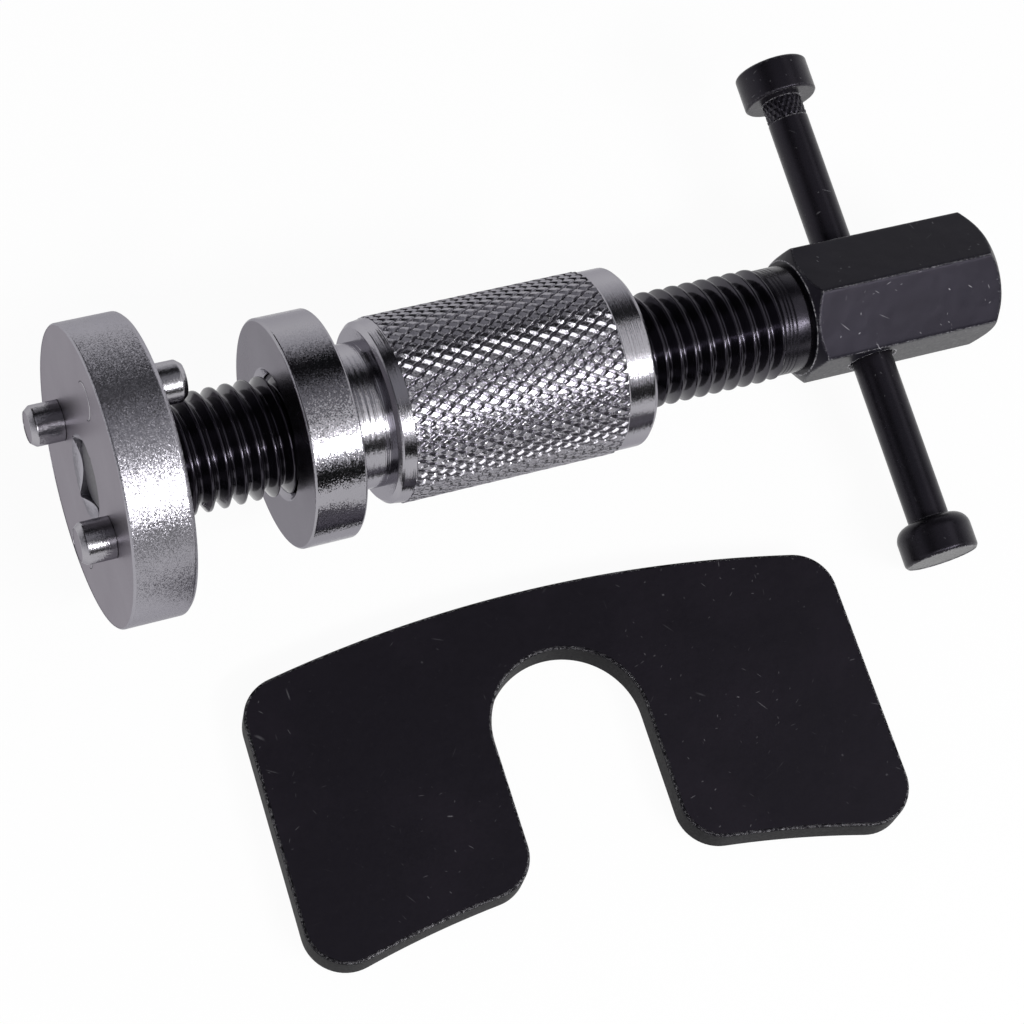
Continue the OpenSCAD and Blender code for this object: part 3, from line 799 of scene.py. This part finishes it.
neck_r = NECK_D / 2
face_r = NUT_FACE_D / 2
collar_r = COLLAR_D / 2
cone_r = KNURL_D / 2 - 0.15
cone_at = NUT_FRONT + NUT_CHAMFER
knurl_core_r = KNURL_D / 2 - KNURL_CORE_DEPTH
collar_at = KNURL_END - 0.25
nut = made("nut_body", turned(eased(
    [(bore_r, SPIGOT_AT, 0), (neck_r, SPIGOT_AT, 0), (neck_r, FLANGE_BACK, 0)]
    + tool_marks(neck_r, FLANGE_BACK, neck_r, NUT_FRONT, spacing=0.21, depth=0.07)
    + [(neck_r, NUT_FRONT, 0), (face_r - NUT_CHAMFER, NUT_FRONT, 0.1), (face_r, cone_at, 0.15)]
    + tool_marks(face_r, cone_at, cone_r, KNURL_AT, spacing=0.2, depth=0.05)
    + [(cone_r, KNURL_AT, 0.05), (knurl_core_r, KNURL_AT + 0.1, 0),
       (knurl_core_r, collar_at - 0.05, 0), (collar_r + 0.1, collar_at, 0), (collar_r, KNURL_END, 0.05),
       (collar_r, NUT_END - NUT_CHAMFER, 0.15), (collar_r - NUT_CHAMFER, NUT_END, 0.1),
       (bore_r + BORE_CHAMFER, NUT_END, 0.1), (bore_r, NUT_END - BORE_CHAMFER, 0)]),
    looped=True), on_axis)
fitted(nut, nut_turned, "nut", "turned_plated_steel", "knurled_nut", crease=40)

knurl = made("nut_knurl", knurled(
    KNURL_D / 2, KNURL_DEPTH, KNURL_WALLS, KNURL_STARTS, KNURL_DIAMOND_L,
    KNURL_AT, collar_at, knurl_core_r - 0.4), on_axis)
fitted(knurl, nut_knurled, "nut", "turned_plated_steel", "knurled_nut", crease=20)

# Tommy bar with its forged head and pressed cap

bar_r = BAR_D / 2
head_r = HEAD_D / 2
head_at = BAR_REACH_NEAR - HEAD_L
cap_back = CAP_L - BAR_REACH_FAR
head_round = arc((head_r - HEAD_ROUND, head_at + HEAD_ROUND), HEAD_ROUND, -90, 0)
grip_end = cap_back + GRIP_L
grip_seat_r = bar_r - GRIP_SEAT_DEPTH
bar = made("bar_turned", turned(eased(
    [(bar_r, CAP_END - BAR_REACH_FAR, 0), (bar_r, cap_back, 0), (grip_seat_r, cap_back + 0.1, 0),
     (grip_seat_r, grip_end - 0.1, 0), (bar_r, grip_end, 0), (bar_r, head_at, 0.1)]
    + [(p.x, p.y, 0) for p in head_round]
    + [(head_r, BAR_REACH_NEAR - 0.5, 0.3), (head_r - 0.4, BAR_REACH_NEAR, 0.15)]),
    SMALL_SIDES), on_bar)
fitted(bar, bar_black, "bar", "blackened_steel", "tommy_bar")
grip = made("bar_grip", knurled(
    bar_r, GRIP_DEPTH, GRIP_WALLS, GRIP_STARTS, GRIP_DIAMOND_L,
    cap_back - 0.2, grip_end, grip_seat_r - 0.3), on_bar)
fitted(grip, relief_black, "bar", "blackened_steel", "tommy_bar", crease=40)

cap_r = CAP_D / 2
cap_bore_r = bar_r - 0.02
cap = made("cap_turned", turned(eased([
    (cap_r - EDGE_BREAK, -BAR_REACH_FAR, 0.12), (cap_r, EDGE_BREAK - BAR_REACH_FAR, 0.15),
    (cap_r, cap_back - EDGE_BREAK, 0.15), (cap_r - EDGE_BREAK, cap_back, 0.12),
    (cap_bore_r, cap_back, 0), (cap_bore_r, CAP_END - BAR_REACH_FAR, 0)]), SMALL_SIDES), on_bar)
fitted(cap, bar_black, "bar", "blackened_steel", "bar_cap")

# Reaction plate

plate = made("plate_blanked", blanked_plate(), on_plate)
fitted(plate, plate_sheared, "plate", "blackened_plate", "reaction_plate",
       faces=plate_black, way=Vector((0, 0, 1)))

# Hidden pieces stay as CAD made them
for node in ("detent_ball", "detent_spring", "retaining_ring"):
    mesh = frame["nodes"][node].data
    mesh.materials.clear()
    mesh.materials.append(spring_steel)

# Studio: white floor, pale room with a dark ceiling, softboxes and two dark cards the metal mirrors

# The floor's half width in metres, and the share of its white that needs no light
FLOOR_R = 6
FLOOR_GLOW = 0.95
SHEET_CORNERS = ((-1, -1), (1, -1), (1, 1), (-1, 1))

floor_mesh = bpy.data.meshes.new("floor")
floor_mesh.from_pydata([(FLOOR_R * x, FLOOR_R * y, 0) for x, y in SHEET_CORNERS], [], [(0, 1, 2, 3)])
floor = bpy.data.objects.new("floor", floor_mesh)
bpy.context.scene.collection.objects.link(floor)

# White paper: the eye and the metal see it white, and part of it stays lit so that it takes the shadow
paper, tree = new_material("white paper sweep")
rays = add(tree, "ShaderNodeLightPath").outputs
seen = rays["Is Camera Ray"]
for kind in ("Is Glossy Ray", "Is Transmission Ray"):
    seen = add(tree, "ShaderNodeMath", {0: seen, 1: rays[kind]}, operation="MAXIMUM").outputs[0]
share = add(tree, "ShaderNodeMath", {0: seen, 1: FLOOR_GLOW}, operation="MULTIPLY")
lit = add(tree, "ShaderNodeBsdfDiffuse", {"Color": colour("#f6f6f6")})
glow = add(tree, "ShaderNodeEmission", {"Color": colour("#ffffff"), "Strength": 1})
mixed = add(tree, "ShaderNodeMixShader", {0: share.outputs[0], 1: lit.outputs[0], 2: glow.outputs[0]})
add(tree, "ShaderNodeOutputMaterial", {"Surface": mixed.outputs[0]})
floor_mesh.materials.append(paper)

world = bpy.data.worlds.new("pale room")
world.use_nodes = True
tree = world.node_tree
tree.nodes.clear()
height = add(tree, "ShaderNodeSeparateXYZ", {0: add(tree, "ShaderNodeTexCoord").outputs["Generated"]})
walls = add(tree, "ShaderNodeValToRGB", {0: height.outputs["Z"]})
# From the horizon to straight up, by the sine of the elevation
stops = (
    (0.0, "#ffffff"), (0.174, "#eaeaec"), (0.375, "#d3d3d6"), (0.545, "#8b8b8f"), (0.68, "#1a1a1c"),
    (0.83, "#161618"), (0.90, "#5a5a5e"), (0.94, "#95959a"), (1.0, "#a0a0a6"))
ramp = walls.color_ramp
for position, code in stops[2:]:
    ramp.elements.new(position)
for element, (position, code) in zip(ramp.elements, stops):
    element.position = position
    element.color = colour(code)
sky = add(tree, "ShaderNodeBackground", {"Color": walls.outputs["Color"], "Strength": 1})
add(tree, "ShaderNodeOutputWorld", {"Surface": sky.outputs[0]})
bpy.context.scene.world = world


def direction(azimuth, elevation):
    """Direction from the tool, azimuth clockwise from +Y, in degrees."""
    a, e = math.radians(azimuth), math.radians(elevation)
    return Vector((math.sin(a) * math.cos(e), math.cos(a) * math.cos(e), math.sin(e)))


def softbox(name, azimuth, elevation, distance, width, height, radiance):
    """Area lamp that faces the tool, sizes in metres; radiance 1 looks white in a perfect mirror."""
    lamp = bpy.data.lights.new(name, "AREA")
    lamp.shape = "RECTANGLE"
    lamp.size = width
    lamp.size_y = height
    lamp.energy = radiance * math.pi * width * height
    holder = bpy.data.objects.new(name, lamp)
    holder.location = direction(azimuth, elevation) * distance
    holder.rotation_euler = direction(azimuth, elevation).to_track_quat("Z", "Y").to_euler()
    bpy.context.scene.collection.objects.link(holder)


# The key draws the white band on round pieces, its diffuser softens the band, the near box lights the
# knurl's groove walls and the overhead box the tops of round pieces
softbox("key_softbox", 152, 41, distance=1.0, width=0.55, height=0.08, radiance=44)
softbox("key_diffuser", 150, 42, distance=1.1, width=0.9, height=0.42, radiance=1.2)
softbox("near_softbox", 198, 46, distance=1.0, width=0.5, height=0.4, radiance=3.6)
softbox("overhead_softbox", 108, 57, distance=1.2, width=1.2, height=0.42, radiance=1.0)

dark_card, tree = new_material("black felt card")
felt = add(tree, "ShaderNodeBsdfDiffuse", {"Color": colour("#080808")})
add(tree, "ShaderNodeOutputMaterial", {"Surface": felt.outputs[0]})


def card(name, azimuth, elevation, distance, width, height):
    """Dark card that shows only in the metal, sizes in metres."""
    mesh = bpy.data.meshes.new(name)
    corners = [(x * width / 2, y * height / 2, 0) for x, y in SHEET_CORNERS]
    mesh.from_pydata(corners, [], [(0, 1, 2, 3)])
    flag = bpy.data.objects.new(name, mesh)
    flag.location = direction(azimuth, elevation) * distance
    flag.rotation_euler = direction(azimuth, elevation).to_track_quat("Z", "Y").to_euler()
    flag.visible_camera = False
    flag.visible_diffuse = False
    flag.visible_shadow = False
    mesh.materials.append(dark_card)
    bpy.context.scene.collection.objects.link(flag)


# The front card draws the black band under the white one, the far card blackens the knurl's far walls
card("front_card", 159, 13, distance=1.1, width=1.6, height=0.42)
card("far_card", 352, 20, distance=1.1, width=0.58, height=0.54)

# Camera at the photograph's place, in degrees and millimetres

CAMERA_AZIMUTH = -37.186
CAMERA_ELEVATION = 64.463
CAMERA_ROLL = 18.897
CAMERA_TARGET = Vector((-10.256, 0.524, 12.0))
CAMERA_DISTANCE = 427.97
LENS = 100.31
SENSOR_W = 36

look = direction(-CAMERA_AZIMUTH, -CAMERA_ELEVATION)
level = direction(90 - CAMERA_AZIMUTH, 0)
upright = level.cross(look)
roll = math.radians(CAMERA_ROLL)
image_x = math.cos(roll) * level + math.sin(roll) * upright
image_y = -math.sin(roll) * level + math.cos(roll) * upright
camera_data = bpy.data.cameras.new("camera")
camera_data.lens = LENS
camera_data.sensor_width = SENSOR_W
camera_data.clip_start = 0.01
camera = bpy.data.objects.new("camera", camera_data)
facing = Matrix((image_x, image_y, -look)).transposed().to_4x4()
camera.matrix_world = Matrix.Translation((CAMERA_TARGET - look * CAMERA_DISTANCE) * MM) @ facing
bpy.context.scene.collection.objects.link(camera)
bpy.context.scene.camera = camera

bpy.context.scene.view_settings.view_transform = "Standard"
